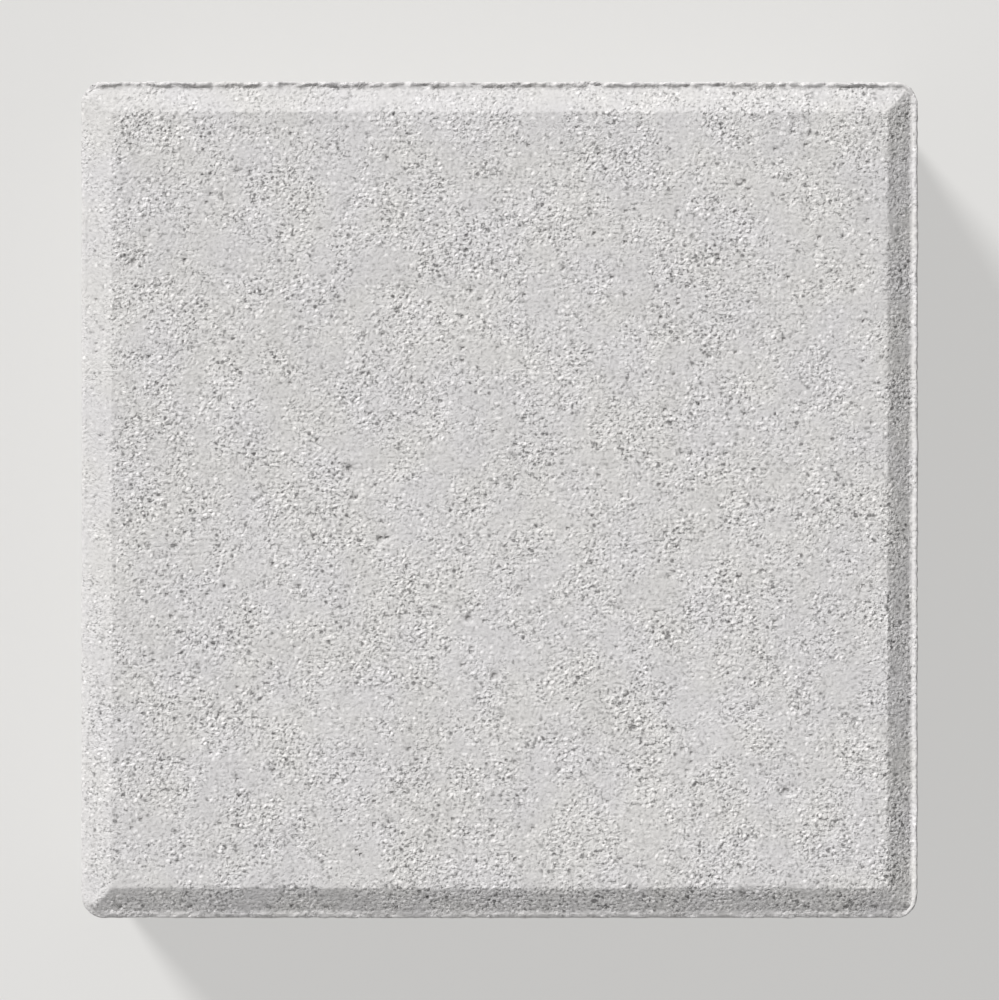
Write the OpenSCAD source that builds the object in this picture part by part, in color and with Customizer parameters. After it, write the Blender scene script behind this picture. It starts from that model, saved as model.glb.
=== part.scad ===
// Square paving stone of vibro-pressed concrete, with a bevelled tread.
// The origin is the centre of the bed face. +Z points up to the tread.
// The stone is pressed in one go, so it is one solid.

/* [Stone] */
// Length of the stone along X
stone_length = 198; // [100:1:400]
// Width of the stone along Y
stone_width = 198; // [100:1:400]
// Height from the bed face to the tread
stone_height = 60; // [40:1:120]
// Radius of the four upright corners, seen from above
corner_radius = 5.5; // [3:0.1:12]

/* [Bevel round the tread] */
// Width of the bevel, seen from above
bevel_width = 6; // [2:0.1:15]
// Depth of the bevel's foot below the tread
bevel_depth = 3; // [1:0.1:10]

/* [Pressing rim at the bevel's foot] */
// Width of the rim from the side face to the bevel's foot
rim_width = 1.5; // [0.8:0.1:2.5]
// Width of the rim's flat crest
rim_crest = 0.7; // [0.3:0.1:0.7]
// Height of the crest above the bevel's foot
rim_height = 0.8; // [0.3:0.1:1]

/* [Hidden] */

// Facets on the round corners
$fn = 64;

// Colour of the dry, light grey concrete
concrete_colour = "#CBC9C8";

// Level of the bevel's foot, which is also the bottom of the groove inside the rim
foot_z = stone_height - bevel_depth;

// Level of the rim's crest
crest_z = foot_z + rim_height;

// The corner arcs share their centres at every level, so each outline is parallel to the next
arc_x = stone_length / 2 - corner_radius;
arc_y = stone_width / 2 - corner_radius;

// Corner radius of the outline inside the rim, at the bevel's foot and at the crest
foot_radius = corner_radius - rim_width;
crest_radius = corner_radius - rim_crest;

// Half sizes of the bevel's foot and of the flat tread
foot_x = arc_x + foot_radius;
foot_y = arc_y + foot_radius;
tread_x = foot_x - bevel_width;
tread_y = foot_y - bevel_width;

// Outline with round corners of the given radius about the shared arc centres
module outline(radius) {
    square([2 * (arc_x + radius), 2 * arc_y], center = true);
    square([2 * arc_x, 2 * (arc_y + radius)], center = true);
    for (side_x = [-1, 1], side_y = [-1, 1])
        translate([side_x * arc_x, side_y * arc_y])
            circle(r = radius);
}

// Bar along Y with leaning sides: low_half is half its width at the bottom, high_half at the top
module leaning_bar(low_half, high_half, half_length, height) {
    rotate([90, 0, 0])
        linear_extrude(height = 2 * half_length, center = true)
            polygon([[-low_half, 0], [low_half, 0], [high_half, height], [-high_half, height]]);
}

// Hollow inside the rim: it widens from the bevel's foot up to the crest
module rim_hollow() {
    leaning_bar(arc_x + foot_radius, arc_x + crest_radius, arc_y, rim_height);
    rotate([0, 0, 90])
        leaning_bar(arc_y + foot_radius, arc_y + crest_radius, arc_x, rim_height);
    for (side_x = [-1, 1], side_y = [-1, 1])
        translate([side_x * arc_x, side_y * arc_y, 0])
            cylinder(r1 = foot_radius, r2 = crest_radius, h = rim_height);
}

// Block as the mould gives it, up to the crest of the rim, with the rim left standing
module moulded_block() {
    difference() {
        linear_extrude(height = crest_z)
            outline(corner_radius);
        translate([0, 0, foot_z])
            rim_hollow();
    }
}

// Crown as the tamper presses it: four bevels that meet in mitres round the flat tread
module pressed_crown() {
    intersection() {
        linear_extrude(height = stone_height)
            outline(foot_radius);
        translate([0, 0, foot_z])
            leaning_bar(foot_x, tread_x, foot_y, bevel_depth);
        translate([0, 0, foot_z])
            rotate([0, 0, 90])
                leaning_bar(foot_y, tread_y, foot_x, bevel_depth);
    }
}

module paving_stone() {
    color(concrete_colour)
        union() {
            moulded_block();
            pressed_crown();
        }
}

paving_stone();
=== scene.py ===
# %% [markdown]
# # A pressed concrete paving stone
# The stone is earth-moist concrete, shaken and pressed in one go. A steel mould gives its upright
# sides, and a tamper shoe gives its top: a flat tread, a bevel round it, and a thin crumbly rim
# where mortar creeps up between the shoe and the mould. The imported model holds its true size. This
# lesson builds one dense mesh on that size, and gives it the relief and finish of cast concrete.

import math
import random

import bmesh
import bpy
from mathutils import Matrix, Vector, noise


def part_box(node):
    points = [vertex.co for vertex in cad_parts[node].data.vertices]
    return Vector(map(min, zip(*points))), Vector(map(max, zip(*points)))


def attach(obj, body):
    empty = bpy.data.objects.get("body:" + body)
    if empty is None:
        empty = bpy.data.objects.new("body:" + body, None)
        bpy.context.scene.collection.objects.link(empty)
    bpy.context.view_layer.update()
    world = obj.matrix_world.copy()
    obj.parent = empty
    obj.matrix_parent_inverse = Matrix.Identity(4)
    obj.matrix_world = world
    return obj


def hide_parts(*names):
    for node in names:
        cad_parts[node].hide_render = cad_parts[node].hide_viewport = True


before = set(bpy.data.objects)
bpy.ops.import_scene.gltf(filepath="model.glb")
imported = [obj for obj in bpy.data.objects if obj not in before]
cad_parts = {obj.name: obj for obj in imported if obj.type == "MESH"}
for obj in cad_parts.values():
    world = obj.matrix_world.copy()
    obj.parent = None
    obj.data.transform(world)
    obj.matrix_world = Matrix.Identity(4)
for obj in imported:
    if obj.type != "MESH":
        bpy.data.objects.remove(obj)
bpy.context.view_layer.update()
STONE = "paving_stone"
MM = 0.001
NEAR = 0.01 * MM

# %% [markdown]
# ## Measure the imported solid
# The levels and widths could be typed in again, but they would be wrong as soon as the solid
# changed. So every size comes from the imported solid. It has few points, and each lies on an edge,
# so the largest coordinate among the points that pass a test finds the tread, the foot of the bevel
# and the rim.

# %% Outline and tread
cad_points = [vert.co.copy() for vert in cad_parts[STONE].data.vertices]


def furthest(axis, test):
    """Largest X, Y or Z among the solid's points that pass the test."""
    return max(point[axis] for point in cad_points if test(point))


low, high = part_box(STONE)
side_x, side_y, top_z = high
arc_x = furthest(0, lambda point: point.y > side_y - NEAR)
arc_y = furthest(1, lambda point: point.x > side_x - NEAR)
tread_x = furthest(0, lambda point: point.z > top_z - NEAR)
tread_y = furthest(1, lambda point: point.z > top_z - NEAR)
corner_radius = side_x - arc_x
tread_inset = side_x - tread_x
print(f"tread {2 * tread_x / MM:.1f} mm, corner radius {corner_radius / MM:.1f} mm")

# %% Bevel and rim
crest_z = furthest(2, lambda point: point.x > side_x - NEAR)
foot_z = min(point.z for point in cad_points if point.z > low.z + NEAR)
foot_x = furthest(0, lambda point: abs(point.z - foot_z) < NEAR)
foot_y = furthest(1, lambda point: abs(point.z - foot_z) < NEAR)
crest_x = furthest(
    0,
    lambda point: point.x < side_x - NEAR
    and abs(point.y) < arc_y + NEAR
    and abs(point.z - crest_z) < NEAR,
)
rim_width = side_x - foot_x
rim_crest = side_x - crest_x
rim_height = crest_z - foot_z
bevel_slope = (top_z - foot_z) / (foot_x - tread_x)
print(f"bevel falls {(top_z - foot_z) / MM:.1f} mm over {(foot_x - tread_x) / MM:.1f} mm")
print(f"rim {rim_width / MM:.1f} mm wide and {rim_height / MM:.1f} mm high")


# %% Distance in from the side
def inset(point):
    """How far a point lies inside the stone's outline, seen from above."""
    past_x, past_y = abs(point.x) - arc_x, abs(point.y) - arc_y
    if past_x > 0 and past_y > 0:
        return corner_radius - math.hypot(past_x, past_y)
    return corner_radius - max(past_x, past_y)


print(f"the middle lies {inset(Vector()) / MM:.1f} mm in from the sides")

# %% [markdown]
# ## The sides and the rim
# The outline is the same at every level, so the sides and the rim are one section carried round the
# stone. A cube with bevelled edges would do for the sides, but the rim's small steps would be hard
# to place on it. The section is drawn at the start of a straight, from the rim's inner foot, over
# its crest, and down to the bed. Its rows of faces are about a millimetre high at the top and less
# than two below, which is fine enough for the relief that comes later.

# %% Draw the section
RIM_SKIRT = 2 * MM
BED_ARRIS = 0.8 * MM
skirt_z = crest_z - RIM_SKIRT
# distance in from the side, height, and rows of faces down to the next stop
STOPS = (
    (rim_width, foot_z, 3),
    (rim_crest, crest_z, 2),
    (0.0, crest_z, 4),
    (0.0, skirt_z, 35),
    (0.0, BED_ARRIS, 2),
    (0.6 * BED_ARRIS, 0.0, 0),
)

stone = bmesh.new()
section = []
for (inward, height, rows), (next_inward, next_height, _) in zip(STOPS, STOPS[1:]):
    start = Vector((side_x - inward, -arc_y, height))
    end = Vector((side_x - next_inward, -arc_y, next_height))
    section += [stone.verts.new(start.lerp(end, row / rows)) for row in range(rows)]
section.append(stone.verts.new(end))
section += [stone.edges.new(pair) for pair in zip(section, section[1:])]
print("points in the section:", len(stone.verts))

# %% [markdown]
# ## Carry the section round
# Spin does two jobs. With an angle it turns the section round a corner, and with a travel and no
# angle it carries it along a straight. Each straight is first one long step, and its edges are cut
# to short faces afterwards, which is far quicker than many short steps.

# %% Sweep the section
TREAD_CELLS = 188
CORNER_STEPS = 8
STRAIGHT_CELLS = TREAD_CELLS - CORNER_STEPS


def sweep(geometry, steps, travel=(0, 0, 0), centre=(0, 0, 0), angle=0.0):
    """Carries the section on, and returns it at its new place."""
    swept = bmesh.ops.spin(
        stone,
        geom=geometry,
        cent=centre,
        axis=(0, 0, 1),
        dvec=travel,
        angle=angle,
        steps=steps,
        use_merge=False,
        use_normal_flip=False,
        use_duplicate=False,
    )
    return swept["geom_last"]


for corner_x, corner_y, travel in (
    (arc_x, arc_y, (0, 2 * arc_y, 0)),
    (-arc_x, arc_y, (-2 * arc_x, 0, 0)),
    (-arc_x, -arc_y, (0, -2 * arc_y, 0)),
    (arc_x, -arc_y, (2 * arc_x, 0, 0)),
):
    section = sweep(section, 1, travel=travel)
    section = sweep(section, CORNER_STEPS, centre=(corner_x, corner_y, 0), angle=math.pi / 2)
bmesh.ops.remove_doubles(stone, verts=stone.verts[:], dist=NEAR)
straights = [edge for edge in stone.edges if edge.calc_length() > arc_x]
bmesh.ops.subdivide_edges(stone, edges=straights, cuts=STRAIGHT_CELLS - 1, use_grid_fill=True)
print("faces in the sides and rim:", len(stone.faces))

# %% [markdown]
# ## The tread and the bevels
# The tread is a grid, because relief needs even faces. The bevels are bridged between its square
# edge and the rim's round-cornered loop. That works best with as many points in one loop as in the
# other, so the grid has a side's cells and a corner's steps along each edge. Its outermost lines are
# drawn together, and every line further in then meets the lines of the sides squarely.

# %% Tread
BAND_CELLS = 5


def draw_together(value, half, arc):
    """Moves a grid line so that it lines up with the sides' lines, but for a band at the edge."""
    cell = 2 * arc / STRAIGHT_CELLS
    line = round((value / half + 1) / 2 * TREAD_CELLS) - TREAD_CELLS / 2
    lines_in = TREAD_CELLS / 2 - abs(line)
    band_lines = CORNER_STEPS / 2 + BAND_CELLS
    if lines_in >= band_lines:
        return line * cell
    band = half - (arc - BAND_CELLS * cell)
    return math.copysign(half - band * lines_in / band_lines, line)


tread = bmesh.ops.create_grid(
    stone,
    x_segments=TREAD_CELLS,
    y_segments=TREAD_CELLS,
    size=1.0,
    matrix=Matrix.Translation((0, 0, top_z)) @ Matrix.Diagonal((tread_x, tread_y, 1, 1)),
)
for vert in tread["verts"]:
    vert.co.x = draw_together(vert.co.x, tread_x, arc_x)
    vert.co.y = draw_together(vert.co.y, tread_y, arc_y)
print(f"tread cells {2 * arc_x / STRAIGHT_CELLS / MM:.2f} mm wide")

# %% Bevels
BEVEL_ROWS = 7
ARRIS = 0.2 * MM


def open_loop(upper):
    """Edges with a face on one side only, in the upper or the lower half of the stone."""
    return [
        edge
        for edge in stone.edges
        if edge.is_boundary and all((vert.co.z > top_z / 2) == upper for vert in edge.verts)
    ]


arris = [edge for edge in open_loop(True) if edge.verts[0].co.z > top_z - NEAR]
rim_foot = {vert for edge in open_loop(True) for vert in edge.verts if vert.co.z < top_z - NEAR}
for vert in rim_foot:
    # the flat bevels run out into the round corners a little above the foot
    inside = min(foot_x - abs(vert.co.x), foot_y - abs(vert.co.y))
    vert.co.z = foot_z + bevel_slope * max(0.0, inside)
bevels = bmesh.ops.bridge_loops(stone, edges=open_loop(True))
bmesh.ops.subdivide_edges(stone, edges=bevels["edges"], cuts=BEVEL_ROWS - 1)
bmesh.ops.bevel(
    stone,
    geom=[edge for edge in arris if edge.is_valid],
    offset=ARRIS,
    offset_type="OFFSET",
    segments=2,
    profile=0.5,
    affect="EDGES",
    clamp_overlap=True,
    material=-1,
)
print("faces with the tread and bevels:", len(stone.faces))

# %% [markdown]
# ## The bed
# The bed rests on the ground and is never seen when the stone is laid, so a coarse grid is enough.
# Bridge Edge Loops lines two loops up by their counts, and here one has three times the points of
# the other, so it would twist. The gap round the grid is filled with triangles instead, which go by
# where the points lie, and that closes the mesh.

# %% Close the bed
BED_CELLS = 62
BED_RING = 4.5 * MM
bmesh.ops.create_grid(
    stone,
    x_segments=BED_CELLS,
    y_segments=BED_CELLS,
    size=1.0,
    matrix=Matrix.Diagonal((side_x - BED_RING, side_y - BED_RING, 1, 1)),
)
bmesh.ops.triangle_fill(stone, edges=open_loop(False), use_beauty=True, use_dissolve=False)
longest = max(edge.calc_length() for edge in stone.edges)
print(f"open edges {len(open_loop(True) + open_loop(False))}, longest edge {longest / MM:.1f} mm")

# %% [markdown]
# ## Finer faces on the rim
# The rim is the finest shape on the stone, hardly wider than one face is long. Only the edges that
# run along it are halved, and the faces next to them take up the change. Finer faces all over would
# cost four times as many.


# %% Halve the rim's faces
def runs_round(edge):
    """True for an edge of the rim that runs round the stone, and not across the section."""
    a, b = (vert.co for vert in edge.verts)
    on_rim = min(a.z, b.z) > skirt_z - NEAR and max(inset(a), inset(b)) < rim_width + NEAR
    return on_rim and abs(inset(a) - inset(b)) < 2 * NEAR and abs(a.z - b.z) < 0.3 * MM


rim_edges = [edge for edge in stone.edges if runs_round(edge)]
bmesh.ops.subdivide_edges(stone, edges=rim_edges, cuts=1, use_grid_fill=True)
bmesh.ops.recalc_face_normals(stone, faces=stone.faces[:])
print(f"rim edges {len(rim_edges)}, volume {stone.calc_volume(signed=True) * 1e6:.1f} cm3")

# %% [markdown]
# ## A map to bake through
# A model that leaves Blender carries its colour as a picture, which needs a UV map. Smart UV Project
# would cut this rough mesh into thousands of scraps. The stone is a box, so each face is laid flat
# along its own side instead, while the mesh is still smooth: the top fills one square, the four
# sides lie in strips beside it at the same scale, and the bed gets the corner that is left.

# %% Lay the faces out
MAP_NAME = "OFBake"
TOP_SHARE = 0.625
STRIP_SHARE = (1 - TOP_SHARE) / 2
MARGIN = 0.003
FLAT = 0.3
bake_map = stone.loops.layers.uv.new(MAP_NAME)


def block_for(normal):
    """Where a face goes on the map: the block's corner, its size, and the axes along it."""
    if normal.z > FLAT:
        return (0.0, 0.0), (TOP_SHARE, TOP_SHARE), (0, 1)
    if normal.z < -FLAT:
        return (TOP_SHARE, TOP_SHARE), (2 * STRIP_SHARE, 2 * STRIP_SHARE), (0, 1)
    if abs(normal.x) > abs(normal.y):
        return (TOP_SHARE + STRIP_SHARE * (normal.x > 0), 0.0), (STRIP_SHARE, TOP_SHARE), (2, 1)
    return (0.0, TOP_SHARE + STRIP_SHARE * (normal.y > 0)), (TOP_SHARE, STRIP_SHARE), (0, 2)


for face in stone.faces:
    corner, size, axes = block_for(face.normal)
    for loop in face.loops:
        for way, axis in enumerate(axes):
            share = (loop.vert.co[axis] - low[axis]) / (high[axis] - low[axis])
            loop[bake_map].uv[way] = corner[way] + MARGIN + share * (size[way] - 2 * MARGIN)
print(f"the top takes {TOP_SHARE:.0%} of the map's width")

# %% [markdown]
# ## Relief
# Cast concrete is never quite flat, and each zone has its own relief: the shoe leaves the tread
# nearly flat but gritty, and the mould drags fine lines up the sides. A Displace modifier can do one
# of these, but not another for each zone. So every vertex moves along its own normal by soft noise
# in a few sizes, each given as a size across and a height in millimetres.

# %% Noise by size
TREAD_BUMPS = ((16, 0.05), (5, 0.04), (2.4, 0.06), (1.4, 0.06))
BEVEL_WAVES = ((18, 0.06),)
BEVEL_GRIT = ((4, 0.04), (1.6, 0.05))
SIDE_BUMPS = ((22, 0.10), (6, 0.09), (2.4, 0.08))
SIDE_LINES = ((1.7, 0.07),)
BED_BUMPS = ((20, 0.15), (7, 0.15))


def bumps(point, size, seed):
    """Soft noise from about -1 to 1, with bumps about size millimetres across."""
    return noise.noise(point / (size * MM) + Vector((seed, -seed, 2 * seed)))


def layered(point, layers, seed):
    """The sum of bumps in several sizes, in millimetres."""
    return sum(
        height * bumps(point, size, seed + 2 * number)
        for number, (size, height) in enumerate(layers)
    )


def ramp(value, start, end):
    """0 at start and 1 at end, with a soft step between them."""
    share = min(1.0, max(0.0, (value - start) / (end - start)))
    return share * share * (3 - 2 * share)


print(f"relief in the tread's middle: {layered(Vector((0, 0, top_z)), TREAD_BUMPS, 1):.3f} mm")


# %% Relief of each zone
# the lines' length over their width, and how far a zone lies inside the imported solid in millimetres
LINE_STRETCH = 25
SIDE_SINK = 0.1
BED_SINK = 0.25
LEAST_COARSE = 0.5
MOST_COARSE = 1.8


def torn(point):
    """0 where the tipping shoe smooths a bevel as it lifts off, and 1 where it tears the bevel."""
    return min(1.0, max(0.0, 0.5 + 0.5 * (point.x / side_x - point.y / side_y)))


def coarse(point):
    """How coarse a bevel is next to the tread: least where it is smoothed, most where it is torn."""
    return LEAST_COARSE + (MOST_COARSE - LEAST_COARSE) * torn(point)


def bevel_relief(point):
    return layered(point, BEVEL_WAVES, 11) + coarse(point) * layered(point, BEVEL_GRIT, 13)


def side_relief(point):
    """Bumps, and lines that run up the side where the stone slid out of the mould."""
    drawn_out = Vector((point.x, point.y, point.z / LINE_STRETCH))
    return layered(point, SIDE_BUMPS, 29) + layered(drawn_out, SIDE_LINES, 23) - SIDE_SINK


def bed_relief(point):
    return layered(point, BED_BUMPS, 41) - BED_SINK


print(f"bevel relief, near and far corner: {bevel_relief(high):.3f}, {bevel_relief(low):.3f} mm")

# %% [markdown]
# ## Worn edges
# Edges are where concrete shows its grain. Single grains break out of the arris between tread and
# bevel, and the bed's edge is chipped where the stone slid over the pallet. A Bevel modifier would
# only round them evenly, so noise decides here how far each place is broken back.

# %% Arris and bed edge
ARRIS_LOSS = 0.18
ARRIS_GRAIN = 2.6
BED_LOSS = 0.25
BED_GRAINS = ((2.2, 0.3),)
CHIP_WIDTH = 7
CHIP_DEPTH = 1.5
CHIP_HEIGHT = 4 * MM
CHIP_RISE = 0.3


def arris_wear(point):
    """How far the arris sinks, in millimetres. It sinks most where the bevel is torn."""
    broken = ramp(bumps(point, ARRIS_GRAIN, 19), 0.0, 0.5)
    return -ARRIS_LOSS * (0.3 + 0.7 * torn(point)) * broken


def bed_chip(point):
    """How far the bed's edge is broken back, in millimetres."""
    along = Vector((point.x, point.y, 0))
    chip = CHIP_DEPTH * ramp(bumps(along, CHIP_WIDTH, 79), 0.25, 0.6)
    return BED_LOSS + layered(along, BED_GRAINS, 73) + chip


chips = [bed_chip(Vector((side_x, step * MM, 0))) for step in range(-90, 90)]
print(f"one side's bed edge is broken back by up to {max(chips):.1f} mm")

# %% [markdown]
# ## The crumbling rim
# Mortar creeps up between the shoe and the mould and leaves a thin rim. The shoe sits off centre, so
# two sides have more of it, and crumbs break off, most of all at the back, which the mould's feed
# box fills last. A row of separate crumbs would look strewn on, so the rim's own faces sink instead:
# each place keeps a share of its full height, and where nothing is left the bevel runs on down to
# the side.

# %% Shape of the rim
CRUMBS = ((9, 0.3), (2.6, 0.4), (1.2, 0.4))
RIM_GRIT = ((1.5, 0.14), (4, 0.10))
RIM_SINK = 0.1
RIM_ROUND = 0.3 * MM
# the share of the rim that stands, and how much more there is at the right and at the back
RIM_STANDS = 0.25
MORE_AT_RIGHT = 0.42
MORE_AT_BACK = 0.15
FILLED = 0.4


def facing(point):
    """The way the stone's outline faces at a point near it, seen from above."""
    past_x = point.x - min(arc_x, max(-arc_x, point.x))
    past_y = point.y - min(arc_y, max(-arc_y, point.y))
    return Vector((past_x, past_y)).normalized()


def rim_share(point):
    """How much of the rim's height stands here."""
    right, back = facing(point)
    lean = RIM_STANDS + MORE_AT_RIGHT * right + MORE_AT_BACK * back
    crumbs = (0.7 + 0.3 * back) * layered(Vector((point.x, point.y, 0)), CRUMBS, 47)
    return min(1.1, max(0.0, lean + crumbs))


def rim_height_at(point):
    """The rim's new height at a point of the section."""
    share = rim_share(point)
    filled = ramp(share, 0.0, FILLED)
    bare = foot_z - bevel_slope * (rim_width - inset(point))
    if inset(point) > NEAR:
        return bare + filled * (foot_z + (point.z - foot_z) * share - bare)
    edge = bare + filled * (foot_z + rim_height * share - RIM_ROUND - bare)
    return skirt_z + (point.z - skirt_z) / RIM_SKIRT * (edge - skirt_z)


shares = [rim_share(Vector((side_x, step * MM, 0))) for step in range(-90, 90)]
print(f"share of the rim that stands on one side: {sum(shares) / len(shares):.2f}")

# %% [markdown]
# ## Move the vertices
# All moves are worked out first, while the mesh is still smooth, because a normal that has already
# been moved would point the wrong way. Vertices also wander sideways a little, so that no straight
# line of faces shows through. Three attributes are stored on the way, for the material to read: how
# much grain shows, how far the mould has dragged the mortar, and how much painted shade a place gets.

# %% Relief and finish at a point
EDGE_BLEND = 1.5 * MM
RIM_GRAIN = 0.5
SIDE_GRAIN = 0.75
# a little painted shade on the bevels and the sides, and more on the torn bevels at the right and the
# front, which face away from the key light
SKIN_PAINTED_SHADE = 0.2
TORN_PAINTED_SHADE = 0.4


def finish_at(point):
    """Relief in millimetres, how much grain shows, how dragged it is, and how much painted shade it
    gets.
    """
    depth = inset(point)
    if depth > rim_width + NEAR and point.z > foot_z - NEAR:
        on_tread = ramp(depth, tread_inset - EDGE_BLEND, tread_inset + EDGE_BLEND)
        at_arris = 1 - ramp(abs(depth - tread_inset), 0.0, EDGE_BLEND)
        on_bevel = 1 - on_tread
        lift = on_tread * layered(point, TREAD_BUMPS, 1) + on_bevel * bevel_relief(point)
        lift += at_arris * arris_wear(point)
        # painted shade on the bevels, most on the torn ones at the right and the front, away from the
        # key light
        dark = on_bevel * (SKIN_PAINTED_SHADE + TORN_PAINTED_SHADE * torn(point))
        return lift, on_tread + on_bevel * coarse(point), 0.0, dark
    if point.z > skirt_z + NEAR:
        return side_relief(point), RIM_GRAIN, 0.0, 0.0
    if point.z > NEAR:
        # a little painted shade on the sides
        return side_relief(point), SIDE_GRAIN, ramp(crest_z - point.z, 0.0, 2 * RIM_SKIRT), SKIN_PAINTED_SHADE
    return bed_relief(point), 1.0, 0.0, 0.0


print("finish in the middle of a side:", [round(n, 2) for n in finish_at(Vector((side_x, 0, 0.03)))])

# %% Work out the moves
WANDER = 0.22 * MM
WANDER_SIZE = 1.3 * MM
grain_shown = stone.verts.layers.float.new("grain_shown")
dragged = stone.verts.layers.float.new("dragged")
shade = stone.verts.layers.float.new("shade")

stone.normal_update()
moves = {}
for vert in stone.verts:
    point = vert.co
    lift, vert[grain_shown], vert[dragged], vert[shade] = finish_at(point)
    sideways = noise.noise_vector(point / WANDER_SIZE)
    sideways -= sideways.dot(vert.normal) * vert.normal
    if point.z > crest_z:
        sideways *= ramp(abs(inset(point) - tread_inset), 0.3 * EDGE_BLEND, EDGE_BLEND)
    elif point.z > skirt_z - NEAR:
        sideways.z = 0.0
    moves[vert] = lift * MM * vert.normal + WANDER * sideways
print(f"longest move {max(move.length for move in moves.values()) / MM:.2f} mm")

# %% Make the moves
for vert, move in moves.items():
    point = vert.co.copy()
    outward = facing(point).to_3d()
    if inset(point) < rim_width - NEAR and point.z > skirt_z + NEAR:
        play = (layered(point, RIM_GRIT, 67) - RIM_SINK) * MM * ramp(point.z, skirt_z, crest_z)
        across = (1 - inset(point) / rim_width) * (move.dot(outward) + play)
        vert.co = Vector((point.x, point.y, rim_height_at(point))) + across * outward
    else:
        vert.co += move
    if point.z < CHIP_HEIGHT and inset(point) < BED_RING - NEAR:
        back = max(0.0, bed_chip(point)) * MM * (1 - point.z / CHIP_HEIGHT) ** 2
        vert.co += Vector((0, 0, CHIP_RISE * back)) - back * outward
    vert.co.z = max(0.0, vert.co.z)
print(f"volume {stone.calc_volume(signed=True) * 1e6:.1f} cm3")

# %% [markdown]
# ## Pores
# Air that doesn't escape leaves open holes between the grains, most of them in the sides. Cutting
# them with booleans would take minutes and leave thin slivers. Here a small pore is one face, inset
# and pushed in, and a large one is the four faces round a vertex, whose corners are drawn in first
# so that it is round. Each pore's floor is marked as shaded, because little light reaches it.

# %% Where pores may open
PORE_FACE = 0.7 * MM * MM
dice = random.Random(4)


def zone(lowest, highest, least_up, most_up):
    """Faces between two heights whose normals point up by a share in the given range."""
    return [
        face
        for face in stone.faces
        if lowest < face.calc_center_median().z < highest
        and least_up < face.normal.z < most_up
        and face.calc_area() > PORE_FACE
    ]


tread_faces = zone(top_z - 0.4 * MM, top_z + MM, 0.9, 1.1)
bevel_faces = zone(foot_z, top_z - 0.4 * MM, 0.6, 0.97)
side_faces = zone(2 * MM, skirt_z, -0.5, 0.5)
print("faces:", len(tread_faces), "tread,", len(bevel_faces), "bevels,", len(side_faces), "sides")

# %% Large pores
# the wall's width and the depth, in millimetres
TREAD_PORES = ((0.35, 0.4),)
SIDE_PORES = ((0.3, 0.8), (0.45, 0.65), (0.6, 0.5))
PORE_ROUND = 0.22
PORE_SAG = 0.4


def open_large_pores(faces, count, sizes):
    """Sinks the four faces round some of the faces' corners, which lie well apart."""
    taken = set()
    patches = []
    corners = [face.verts[0] for face in faces]
    for vert in dice.sample(corners, min(len(corners), 4 * count)):
        near_faces = list(vert.link_faces)
        around = {near for face in near_faces for near in face.verts}
        if len(patches) == count or len(near_faces) != 4 or around & taken:
            continue
        taken |= {far for near in around for face in near.link_faces for far in face.verts}
        patches.append((vert, near_faces))
        straight = {edge.other_vert(vert) for edge in vert.link_edges}
        for near in around - straight - {vert}:
            near.co = near.co.lerp(vert.co, PORE_ROUND)
    for number, (wall, depth) in enumerate(sizes):
        group = patches[number :: len(sizes)]
        bmesh.ops.inset_region(
            stone,
            faces=[face for _, near_faces in group for face in near_faces],
            thickness=wall * MM,
            depth=-depth * MM,
            use_even_offset=True,
            use_interpolate=True,
            use_boundary=True,
        )
        for vert, near_faces in group:
            for near in {near for face in near_faces for near in face.verts}:
                near[shade] = 1.0
            vert.co -= PORE_SAG * depth * MM * vert.normal
    return len(patches)


large = open_large_pores(tread_faces, 6, TREAD_PORES)
large += open_large_pores(side_faces, 110, SIDE_PORES)
print("large pores:", large)

# %% Small pores
# the wall's width and the depth, in millimetres
SMALL_PORES = ((0.14, 0.22), (0.20, 0.32), (0.28, 0.42))
GATHER_SIZE = 9


def open_small_pores(faces, share):
    """Insets some of the faces and pushes them in. They gather where a slow noise is high."""
    groups = [[] for _ in SMALL_PORES]
    for face in faces:
        slow = bumps(face.calc_center_median(), GATHER_SIZE, 83)
        gather = 0.35 + 1.3 * ramp(slow, -0.3, 0.4)
        if all(vert[shade] < 1 for vert in face.verts) and dice.random() < share * gather:
            dice.choice(groups).append(face)
    for group, (wall, depth) in zip(groups, SMALL_PORES):
        bmesh.ops.inset_individual(
            stone,
            faces=group,
            thickness=wall * MM,
            depth=-depth * MM,
            use_even_offset=True,
            use_interpolate=True,
        )
        for face in group:
            for vert in face.verts:
                vert[shade] = 1.0
    return sum(len(group) for group in groups)


small = open_small_pores(tread_faces, 0.007)
small += open_small_pores(bevel_faces, 0.006)
small += open_small_pores(side_faces, 0.018)
print("small pores:", small)

# %% [markdown]
# ## Hand the mesh over
# The mesh becomes an object at the origin, with its place in its points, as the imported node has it.
# It rides on the one body there is, and it stands in for the plain node from here on.

# %% Make the object
for face in stone.faces:
    face.smooth = True
triangles = sum(len(face.verts) - 2 for face in stone.faces)
open_edges = sum(not edge.is_manifold for edge in stone.edges)
mesh = bpy.data.meshes.new("cast_stone")
stone.to_mesh(mesh)
stone.free()
cast_stone = bpy.data.objects.new("cast_stone", mesh)
bpy.context.scene.collection.objects.link(cast_stone)
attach(cast_stone, "root")
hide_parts(STONE)
print(f"triangles {triangles}, open edges {open_edges}")

# %% [markdown]
# ## Pressed concrete
# The real finish is grey concrete with a fine face mix: sand up to a millimetre or so, held in
# cement paste and pressed against steel. It is matt and pale, with light and dark grains, small
# pits between them, and slow clouds where it dried unevenly. A flat picture could be wrapped round
# it, but it would fit one size only and show a seam. Noise and cells in real millimetres make the
# grains here, and the same grains drive colour, roughness and bump, so that the three agree.


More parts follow.
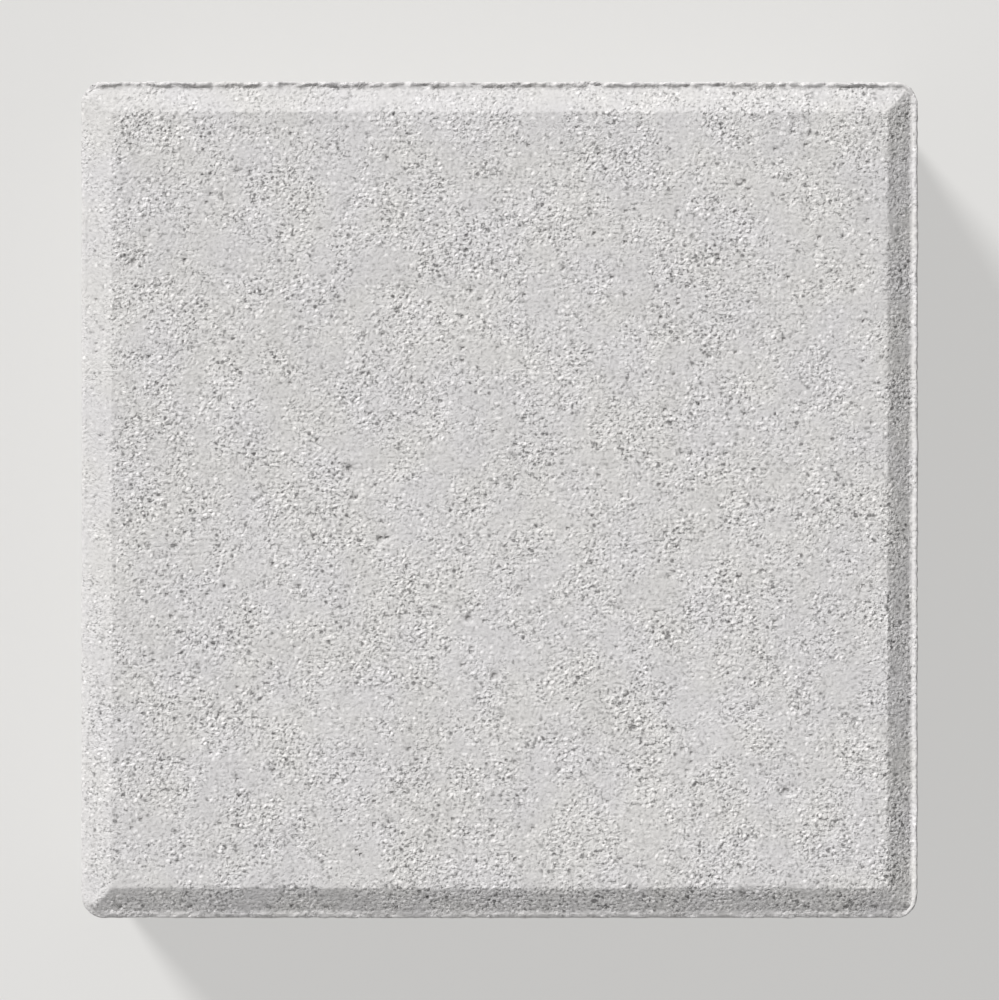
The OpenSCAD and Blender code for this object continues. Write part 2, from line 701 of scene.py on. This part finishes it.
# %% Helpers for the material
def linear(hex_colour):
    """An sRGB hex colour as linear RGBA."""
    parts = [int(hex_colour[i : i + 2], 16) / 255 for i in (1, 3, 5)]
    return [c / 12.92 if c <= 0.04045 else ((c + 0.055) / 1.055) ** 2.4 for c in parts] + [1.0]


def add_node(tree, kind, inputs=None, **settings):
    """Adds a shader node. An input is a value, a socket, or a node for its first output."""
    node = tree.nodes.new("ShaderNode" + kind)
    for name, value in settings.items():
        setattr(node, name, value)
    for socket, value in (inputs or {}).items():
        if isinstance(value, bpy.types.Node):
            value = value.outputs[0]
        if isinstance(value, bpy.types.NodeSocket):
            tree.links.new(value, node.inputs[socket])
        else:
            node.inputs[socket].default_value = value
    return node


concrete = bpy.data.materials.new("pressed_concrete")
concrete.use_nodes = True
tree = concrete.node_tree
shader = tree.nodes["Principled BSDF"]
mesh.materials.append(concrete)
print("sockets on the shader:", len(shader.inputs))

# %% [markdown]
# ### Grit, pits and sand
# Object coordinates are turned to millimetres once, so a scale of 1 / size draws a pattern of that
# size. The grit is noise about 0.7 mm across, finer than a face, and its lowest dips are the pits.
# The sand is a cell pattern: each cell holds one grain, which is a dome with a tone of its own. Real
# grit goes down to dust, but nothing under half a millimetre shows from above a whole stone, so the
# finest of it is left out.

# %% Grit and pits
GRIT = 0.7
place = add_node(tree, "TexCoord").outputs["Object"]
place = add_node(tree, "VectorMath", {0: place, "Scale": 1 / MM}, operation="SCALE")
grit = add_node(
    tree, "TexNoise", {"Vector": place, "Scale": 1 / GRIT, "Detail": 2.0, "Roughness": 0.6}
)
# the noise lies between 0.3 and 0.7 nearly everywhere
swing = add_node(tree, "Math", {0: grit, 1: 0.5}, operation="SUBTRACT")
pit = add_node(tree, "MapRange", {"Value": grit, "From Min": 0.41, "From Max": 0.30})

# %% Sand grains
SAND = 1.2
sand = add_node(tree, "TexVoronoi", {"Vector": place, "Scale": 1 / SAND})
grain_kind = add_node(tree, "SeparateColor", {0: sand.outputs["Color"]}).outputs["Green"]
dome = add_node(
    tree, "MapRange", {"Value": sand.outputs["Distance"], "From Min": 0.55, "From Max": 0.15}
)
print("nodes so far:", len(tree.nodes))

# %% [markdown]
# ### Where the grain shows
# The shoe lays a skin of paste over the grains in places, so smooth and rough patches take turns
# over the tread. A slow noise makes the patches. The attribute that was stored with the relief says
# how much grain each zone shows, and the product of the two scales everything that the grains do.

# %% Patches
PATCH = 8
SMOOTHEST = 0.45
ROUGHEST = 1.35
patches = add_node(
    tree, "TexNoise", {"Vector": place, "Scale": 1 / PATCH, "Detail": 2.0, "Roughness": 0.6}
)
rough = add_node(
    tree,
    "MapRange",
    {"Value": patches, "From Min": 0.36, "From Max": 0.64, "To Min": SMOOTHEST, "To Max": ROUGHEST},
)
shown = add_node(tree, "Attribute", attribute_name="grain_shown").outputs["Fac"]
amount = add_node(tree, "Math", {0: rough, 1: shown}, operation="MULTIPLY")
print("nodes so far:", len(tree.nodes))

# %% [markdown]
# ### Colour
# The paste is a warm pale grey that turns a little cooler in patches. One number, the tone, makes
# it lighter or darker: clouds where it dried unevenly, drag lines up the sides, grains, painted
# shade in the pits and pores, and a little painted shade on the bevels and sides. Most of the sand
# is nearly as pale as the paste, with a dark or a white grain here and there, so each grain's tone
# is raised to the third power: that keeps its sign, and only the rare ones stay far from zero.
# Darkening by a number keeps the hue, which mixing in black paint would too, but with a second
# colour to keep in step.

# %% Clouds and drag lines
CLOUD = 30
DRAG_LINE = 1.2
DRAG_SQUASH = 0.06
cloud = add_node(tree, "TexNoise", {"Vector": place, "Scale": 1 / CLOUD, "Detail": 1.0})
tone = add_node(tree, "MapRange", {"Value": cloud, "To Min": 0.94, "To Max": 1.06})
along = add_node(tree, "VectorMath", {0: place, 1: (1.0, 1.0, DRAG_SQUASH)}, operation="MULTIPLY")
drag = add_node(tree, "TexNoise", {"Vector": along, "Scale": 1 / DRAG_LINE, "Detail": 1.0})
drag = add_node(
    tree,
    "MapRange",
    {"Value": drag, "From Min": 0.3, "From Max": 0.7, "To Min": -0.065, "To Max": 0.045},
)
on_side = add_node(tree, "Attribute", attribute_name="dragged").outputs["Fac"]
tone = add_node(tree, "Math", {0: drag, 1: on_side, 2: tone}, operation="MULTIPLY_ADD")

# %% Grains, pits and pores
GRIT_TONE = 1.15
SAND_TONE = 0.95
RARITY = 3
# what bare grains are paler than skin, and the limits of a grain's own tone
GRAIN_LIGHT = 0.1
DARKEST = 0.42
PALEST = 1.38
# how dark the painted shade in the grit's pits is, and in the shaded places
PIT_PAINTED_SHADE = 0.58
SHADE_TONE = 0.8
kind = add_node(tree, "MapRange", {"Value": grain_kind, "To Min": -1.0, "To Max": 1.0})
kind = add_node(tree, "Math", {0: kind, 1: RARITY}, operation="POWER")
grain_tone = add_node(tree, "Math", {0: kind, 1: SAND_TONE}, operation="MULTIPLY")
grit_tone = add_node(
    tree, "Math", {0: swing, 1: GRIT_TONE, 2: GRAIN_LIGHT}, operation="MULTIPLY_ADD"
)
speckle = add_node(tree, "Math", {0: grain_tone, 1: dome, 2: grit_tone}, operation="MULTIPLY_ADD")
tone = add_node(tree, "Math", {0: speckle, 1: amount, 2: tone}, operation="MULTIPLY_ADD")
tone = add_node(tree, "Clamp", {"Value": tone, "Min": DARKEST, "Max": PALEST})
# painted shade in the grit's pits, where the bump dips
dark = add_node(tree, "Math", {0: pit, 1: amount}, operation="MULTIPLY")
dark = add_node(
    tree, "MapRange", {"Value": dark, "From Max": 1.2, "To Min": 1.0, "To Max": PIT_PAINTED_SHADE}
)
tone = add_node(tree, "Math", {0: tone, 1: dark}, operation="MULTIPLY")
# painted shade in the pores, and a little on the bevels and the sides
shaded = add_node(tree, "Attribute", attribute_name="shade").outputs["Fac"]
shaded = add_node(tree, "MapRange", {"Value": shaded, "To Min": 1.0, "To Max": SHADE_TONE})
tone = add_node(tree, "Math", {0: tone, 1: shaded}, operation="MULTIPLY")
print("nodes so far:", len(tree.nodes))

# %% Paste
TINT = 14
WARM_PASTE = "#CECCCA"
COOL_PASTE = "#CDCBCB"
tint = add_node(tree, "TexNoise", {"Vector": place, "Scale": 1 / TINT, "Detail": 1.0})
tint = add_node(tree, "MapRange", {"Value": tint, "From Min": 0.35, "From Max": 0.65})
paste = add_node(
    tree, "Mix", {0: tint, 6: linear(WARM_PASTE), 7: linear(COOL_PASTE)}, data_type="RGBA"
)
colour = add_node(tree, "VectorMath", {0: paste.outputs[2], "Scale": tone}, operation="SCALE")
tree.links.new(colour.outputs[0], shader.inputs["Base Color"])
print("paste, linear:", [round(value, 3) for value in linear(WARM_PASTE)[:3]])

# %% [markdown]
# ### Roughness and bump
# Concrete isn't metallic, and its index of refraction is close to the default of 1.5, so both stay
# as they are. Dry concrete scatters light almost evenly: its roughness is high all over, and a
# little lower on top of the grains, where the steel has polished them. The bump is a height in
# millimetres, about a tenth to a fifth of a millimetre for grit and sand. The strength of the bump
# is the mask, because Blender works the height out three times for each sample, and the strength
# only once.

# %% Roughness and bump
GRIT_HEIGHT = 0.38
SAND_HEIGHT = 0.20
PIT_DEPTH = 0.08
LEAST_BUMP = 0.5
GRAIN_BUMP = 0.45
polish = add_node(
    tree,
    "MapRange",
    {"Value": grit, "From Min": 0.3, "From Max": 0.7, "To Min": 0.96, "To Max": 0.82},
)
tree.links.new(polish.outputs[0], shader.inputs["Roughness"])
height = add_node(tree, "Math", {0: swing, 1: GRIT_HEIGHT}, operation="MULTIPLY")
lump = add_node(tree, "Math", {0: grain_kind, 1: dome}, operation="MULTIPLY")
height = add_node(tree, "Math", {0: lump, 1: SAND_HEIGHT, 2: height}, operation="MULTIPLY_ADD")
height = add_node(tree, "Math", {0: pit, 1: -PIT_DEPTH, 2: height}, operation="MULTIPLY_ADD")
strength = add_node(
    tree, "Math", {0: shown, 1: GRAIN_BUMP, 2: LEAST_BUMP}, operation="MULTIPLY_ADD"
)
strength = add_node(tree, "Math", {0: strength, 1: rough}, operation="MULTIPLY")
bump = add_node(tree, "Bump", {"Height": height, "Distance": MM, "Strength": strength})
tree.links.new(bump.outputs["Normal"], shader.inputs["Normal"])
print("nodes in the material:", len(tree.nodes))

# %% [markdown]
# ## The floor
# The stone lies on a plain pale floor, which is one large disc. Its true colour is a middle grey, so
# that it throws little light back up the sides. What the camera sees of it is mixed with a pale glow
# instead, which lights nothing else. The grey that is left in the mix keeps the stone's shadow.

# %% Lay the floor
FLOOR_RADIUS = 6.0
FLOOR_GREY = "#C4C3C1"
FLOOR_PALE = "#F4F3F1"
GLOW_SHARE = 0.55
scene = bpy.context.scene
scene.view_settings.view_transform = "Standard"
disc = bmesh.new()
bmesh.ops.create_circle(disc, cap_ends=True, radius=FLOOR_RADIUS, segments=64)
floor_mesh = bpy.data.meshes.new("floor")
disc.to_mesh(floor_mesh)
disc.free()
floor = bpy.data.objects.new("floor", floor_mesh)
scene.collection.objects.link(floor)
print("floor faces:", len(floor_mesh.polygons))


# %% Paint the floor
def seen_by_eye(tree):
    """1 where a surface is seen itself, in a reflection or through glass, and 0 for its light."""
    path = add_node(tree, "LightPath").outputs
    seen = add_node(
        tree, "Math", {0: path["Is Camera Ray"], 1: path["Is Glossy Ray"]}, operation="MAXIMUM"
    )
    return add_node(tree, "Math", {0: seen, 1: path["Is Transmission Ray"]}, operation="MAXIMUM")


paint = bpy.data.materials.new("pale_floor")
paint.use_nodes = True
matt = paint.node_tree.nodes["Principled BSDF"]
matt.inputs["Base Color"].default_value = linear(FLOOR_GREY)
matt.inputs["Roughness"].default_value = 1.0
matt.inputs["Specular IOR Level"].default_value = 0.0
seen = seen_by_eye(paint.node_tree)
glow_share = add_node(paint.node_tree, "Math", {0: seen, 1: GLOW_SHARE}, operation="MULTIPLY")
glow = add_node(paint.node_tree, "Emission", {"Color": linear(FLOOR_PALE)})
floor_mix = add_node(paint.node_tree, "MixShader", {0: glow_share, 1: matt, 2: glow})
output = paint.node_tree.nodes["Material Output"]
paint.node_tree.links.new(floor_mix.outputs[0], output.inputs["Surface"])
floor_mesh.materials.append(paint)
print("floor seen as", FLOOR_PALE, "by a share of", GLOW_SHARE)

# %% [markdown]
# ## The light
# A soft key light behind and to the left stands at about 34 degrees, low enough to tell the four
# bevels apart and to bring out the grain. A weak fill comes in almost level from the other side, so
# it opens up the shaded sides and hardly touches the tread. With a dim even sky the lights add up to
# about 1 on a level surface, so a colour renders about as it is written. Area lamps would do, but
# their light would fall off across the stone, and a sun's doesn't.

# %% Key and fill
LEVEL = 0.94
SKY_SHARE = 0.24
FILL_SHARE = 0.26
TOWARDS_KEY = Vector((-0.9, 1.2, 1.0)).normalized()
TOWARDS_FILL = Vector((0.6, -1.3, 0.12)).normalized()


def add_sun(name, towards, strength, softness):
    """A sun that lights a surface square to it at the given strength. Softness is in degrees."""
    sun = bpy.data.lights.new(name, "SUN")
    sun.energy = strength * math.pi
    sun.angle = math.radians(softness)
    lamp = bpy.data.objects.new(name, sun)
    lamp.rotation_euler = towards.to_track_quat("Z", "Y").to_euler()
    bpy.context.scene.collection.objects.link(lamp)
    print(f"{name} at {math.degrees(math.asin(towards.z)):.0f} degrees, energy {sun.energy:.2f}")


add_sun("key", TOWARDS_KEY, LEVEL * (1 - SKY_SHARE) / TOWARDS_KEY.z, 12)
add_sun("fill", TOWARDS_FILL, LEVEL * FILL_SHARE, 30)

# %% Sky
BACKDROP = "#E2E1DF"
world = bpy.data.worlds.new("studio")
scene.world = world
world.use_nodes = True
sky = world.node_tree.nodes["Background"]
sky.inputs["Color"].default_value = (1, 1, 1, 1)
sky.inputs["Strength"].default_value = LEVEL * SKY_SHARE
backdrop = add_node(world.node_tree, "Background", {"Color": linear(BACKDROP)})
seen = seen_by_eye(world.node_tree)
sky_mix = add_node(world.node_tree, "MixShader", {0: seen, 1: sky, 2: backdrop})
output = world.node_tree.nodes["World Output"]
world.node_tree.links.new(sky_mix.outputs[0], output.inputs["Surface"])
print(f"sky at {LEVEL * SKY_SHARE:.2f}, backdrop {BACKDROP}")

# %% [markdown]
# ## The camera
# The camera looks straight down on the middle of the stone. A long lens from far above keeps all
# four bevels alike and hides the sides. An orthographic camera would too, but it can't be turned
# into a view from the side with the same lens.

# %% Camera
FILL = 0.84
lens = bpy.data.cameras.new("camera")
lens.lens = 150
lens.clip_end = 100
distance = 2 * side_x / FILL * lens.lens / lens.sensor_width
camera = bpy.data.objects.new("camera", lens)
camera.location = (0, 0, top_z + distance)
scene.collection.objects.link(camera)
scene.camera = camera
print(f"camera {distance:.2f} m above the tread, which fills {FILL:.0%} of the width")
